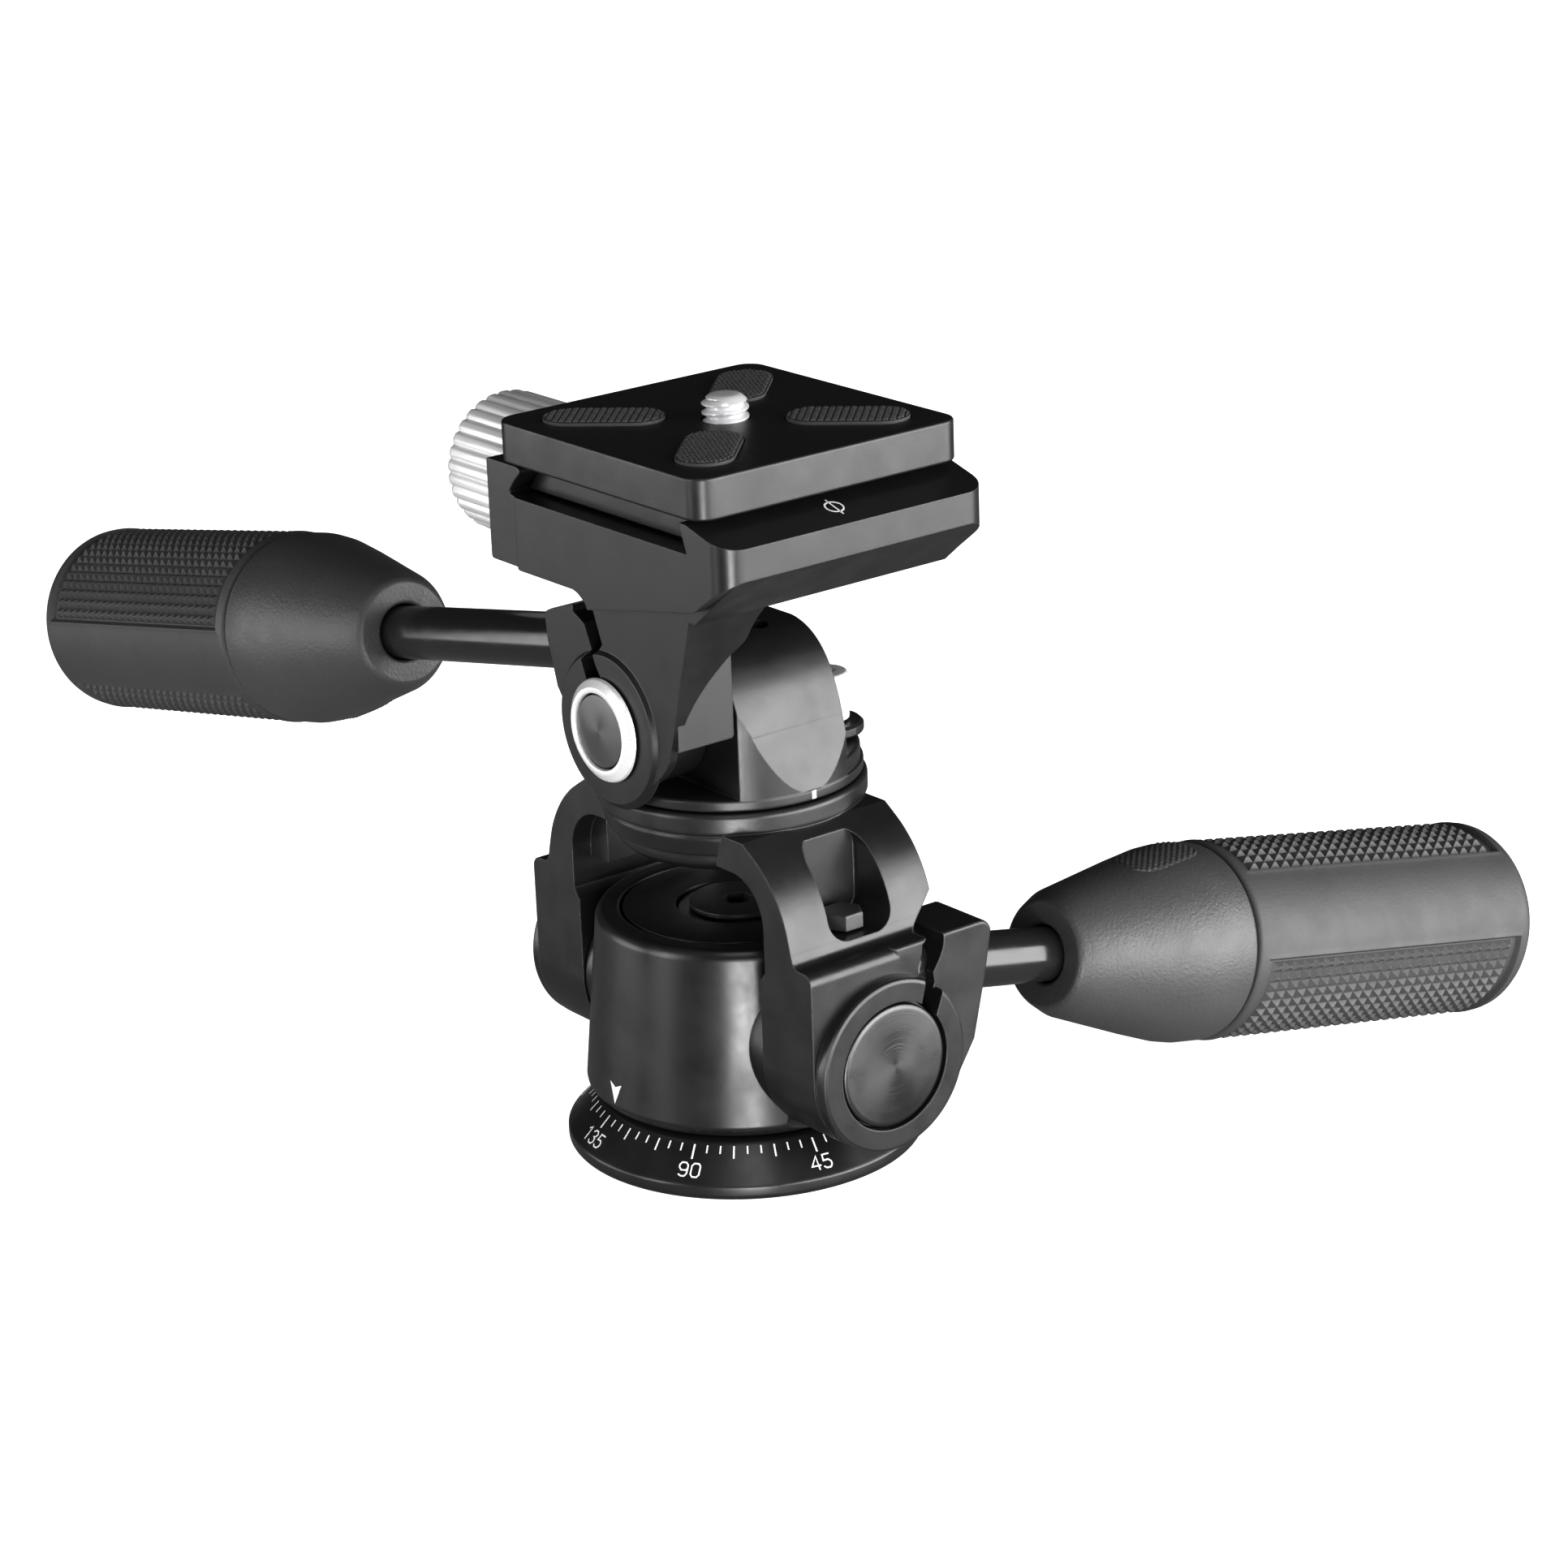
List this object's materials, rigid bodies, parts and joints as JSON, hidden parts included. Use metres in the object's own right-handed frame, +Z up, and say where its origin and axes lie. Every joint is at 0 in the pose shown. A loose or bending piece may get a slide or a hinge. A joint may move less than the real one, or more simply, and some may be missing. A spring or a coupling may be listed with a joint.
{
  "type": "three way pan tilt head",
  "caption": "Tripod head with a pan dial, a tilting fork, a side tilting quick release clamp with plate, and telescopic handles with rubber grips.",
  "frame": {"origin": "centre of the dial's underside, at the mouth of its threaded insert", "axes": "+Z up along the pan axis, +X along the front tilt axis towards the arm with the clamp ear, -Y towards the side of the side tilt pivot"},
  "size_m": [0.187, 0.1494, 0.1125],
  "materials": {
    "bolt_washer": "satin",
    "camera_plate": "black anodised",
    "camera_screw": "bright",
    "clamp_body": "black anodised",
    "clamp_knob": "silver anodised",
    "clamp_screw": "satin",
    "drag_screw_left": "satin",
    "drag_screw_right": "satin",
    "housing_top_cover": "black anodised",
    "jaw_pin_1": "satin",
    "jaw_pin_2": "satin",
    "left_cone": "satin",
    "left_grip": "matt",
    "left_rod": "black satin",
    "left_stop_ring": "matt",
    "pan_bolt": "satin",
    "pan_dial": "black anodised",
    "pan_friction_washer": "matt",
    "pan_housing": "black anodised",
    "pan_lock_knob": "matt",
    "pan_lock_stud": "satin",
    "pivot_insert": "satin",
    "pivot_ring": "bright",
    "plate_pad_1": "ribbed",
    "plate_pad_2": "ribbed",
    "plate_pad_3": "ribbed",
    "plate_pad_4": "ribbed",
    "post_bolt": "satin",
    "post_clamp_screw": "bright",
    "post_screw_collar": "black anodised",
    "right_cone": "satin",
    "right_grip": "matt",
    "right_rod": "black satin",
    "right_stop_ring": "matt",
    "side_tilt_post": "black anodised",
    "side_tilt_shaft": "satin",
    "sliding_jaw": "black anodised",
    "thread_insert": "satin",
    "tilt_cap_left": "brushed in rings",
    "tilt_cap_right": "brushed in rings",
    "tilt_drum_left": "satin",
    "tilt_drum_right": "satin",
    "tilt_fork": "black anodised"
  },
  "bodies": {
    "base": {"pan_dial": "pan_dial", "thread_insert": "thread_insert", "pan_bolt": "pan_bolt", "pan_friction_washer": "pan_friction_washer", "bolt_washer": "bolt_washer"},
    "pan": {"pan_housing": "pan_housing", "housing_top_cover": "housing_top_cover", "tilt_drum_right": "tilt_drum_right", "tilt_drum_left": "tilt_drum_left", "tilt_cap_right": "tilt_cap_right", "tilt_cap_left": "tilt_cap_left"},
    "pan_lock": {"pan_lock_knob": "pan_lock_knob", "pan_lock_stud": "pan_lock_stud"},
    "fork": {"tilt_fork": "tilt_fork", "drag_screw_right": "drag_screw_right", "drag_screw_left": "drag_screw_left", "side_tilt_post": "side_tilt_post", "post_bolt": "post_bolt", "post_screw_collar": "post_screw_collar", "post_clamp_screw": "post_clamp_screw", "side_tilt_shaft": "side_tilt_shaft"},
    "right_handle_rod": {"right_rod": "right_rod", "right_stop_ring": "right_stop_ring"},
    "right_handle_grip": {"right_cone": "right_cone", "right_grip": "right_grip"},
    "carrier": {"clamp_body": "clamp_body", "pivot_ring": "pivot_ring", "pivot_insert": "pivot_insert"},
    "left_handle_rod": {"left_rod": "left_rod", "left_stop_ring": "left_stop_ring"},
    "left_handle_grip": {"left_cone": "left_cone", "left_grip": "left_grip"},
    "jaw": {"sliding_jaw": "sliding_jaw", "jaw_pin_1": "jaw_pin_1", "jaw_pin_2": "jaw_pin_2"},
    "knob": {"clamp_knob": "clamp_knob", "clamp_screw": "clamp_screw"},
    "plate": {"camera_plate": "camera_plate", "plate_pad_1": "plate_pad_1", "plate_pad_2": "plate_pad_2", "plate_pad_3": "plate_pad_3", "plate_pad_4": "plate_pad_4"},
    "camera_screw": {"camera_screw": "camera_screw"}
  },
  "joints": [
    {"name": "pan_turn", "type": "hinge", "parent": "base", "child": "pan", "pos_m": [0, 0, 0.0197], "axis": [0, 0, 1], "continuous": true},
    {"name": "pan_lock_turn", "type": "hinge", "parent": "pan", "child": "pan_lock", "pos_m": [0, 0.022, 0.012], "axis": [0, 1, 0], "range_deg": [-180, 0]},
    {"name": "front_tilt", "type": "hinge", "parent": "pan", "child": "fork", "pos_m": [0, 0, 0.0197], "axis": [1, 0, 0], "range_deg": [-20, 90]},
    {"name": "right_handle_turn", "type": "hinge", "parent": "fork", "child": "right_handle_rod", "pos_m": [0.026, 0.019, 0.02736], "axis": [0, 0.9799, -0.1994], "range_deg": [-60, 60]},
    {"name": "right_handle_slide", "type": "slide", "parent": "right_handle_rod", "child": "right_handle_grip", "axis": [0, 0.9799, -0.1994], "range_m": [0, 0.03]},
    {"name": "side_tilt", "type": "hinge", "parent": "fork", "child": "carrier", "pos_m": [0, -0.0145, 0.0638], "axis": [0, 1, 0], "range_deg": [-28, 28]},
    {"name": "left_handle_turn", "type": "hinge", "parent": "carrier", "child": "left_handle_rod", "pos_m": [-0.009, -0.014, 0.07244], "axis": [-0.9816, 0, -0.1908], "range_deg": [-60, 60]},
    {"name": "left_handle_slide", "type": "slide", "parent": "left_handle_rod", "child": "left_handle_grip", "axis": [-0.9816, 0, -0.1908], "range_m": [-0.03, 0]},
    {"name": "jaw_slide", "type": "slide", "parent": "carrier", "child": "jaw", "axis": [-1, 0, 0], "range_m": [0, 0.003]},
    {"name": "knob_turn", "type": "hinge", "parent": "jaw", "child": "knob", "pos_m": [-0.024, 0, 0.0874], "axis": [-1, 0, 0], "range_deg": [0, 1081]},
    {"name": "plate_slide", "type": "slide", "parent": "carrier", "child": "plate", "axis": [0, 1, 0], "range_m": [-0.012, 0.012]},
    {"name": "camera_screw_turn", "type": "hinge", "parent": "plate", "child": "camera_screw", "pos_m": [0.0018, 0, 0.097], "axis": [0, 0, 1], "continuous": true}
  ],
  "couplings": [
    {"joint": "knob_turn", "follows": "jaw_slide", "rad_per_m": 6283.2}
  ]
}
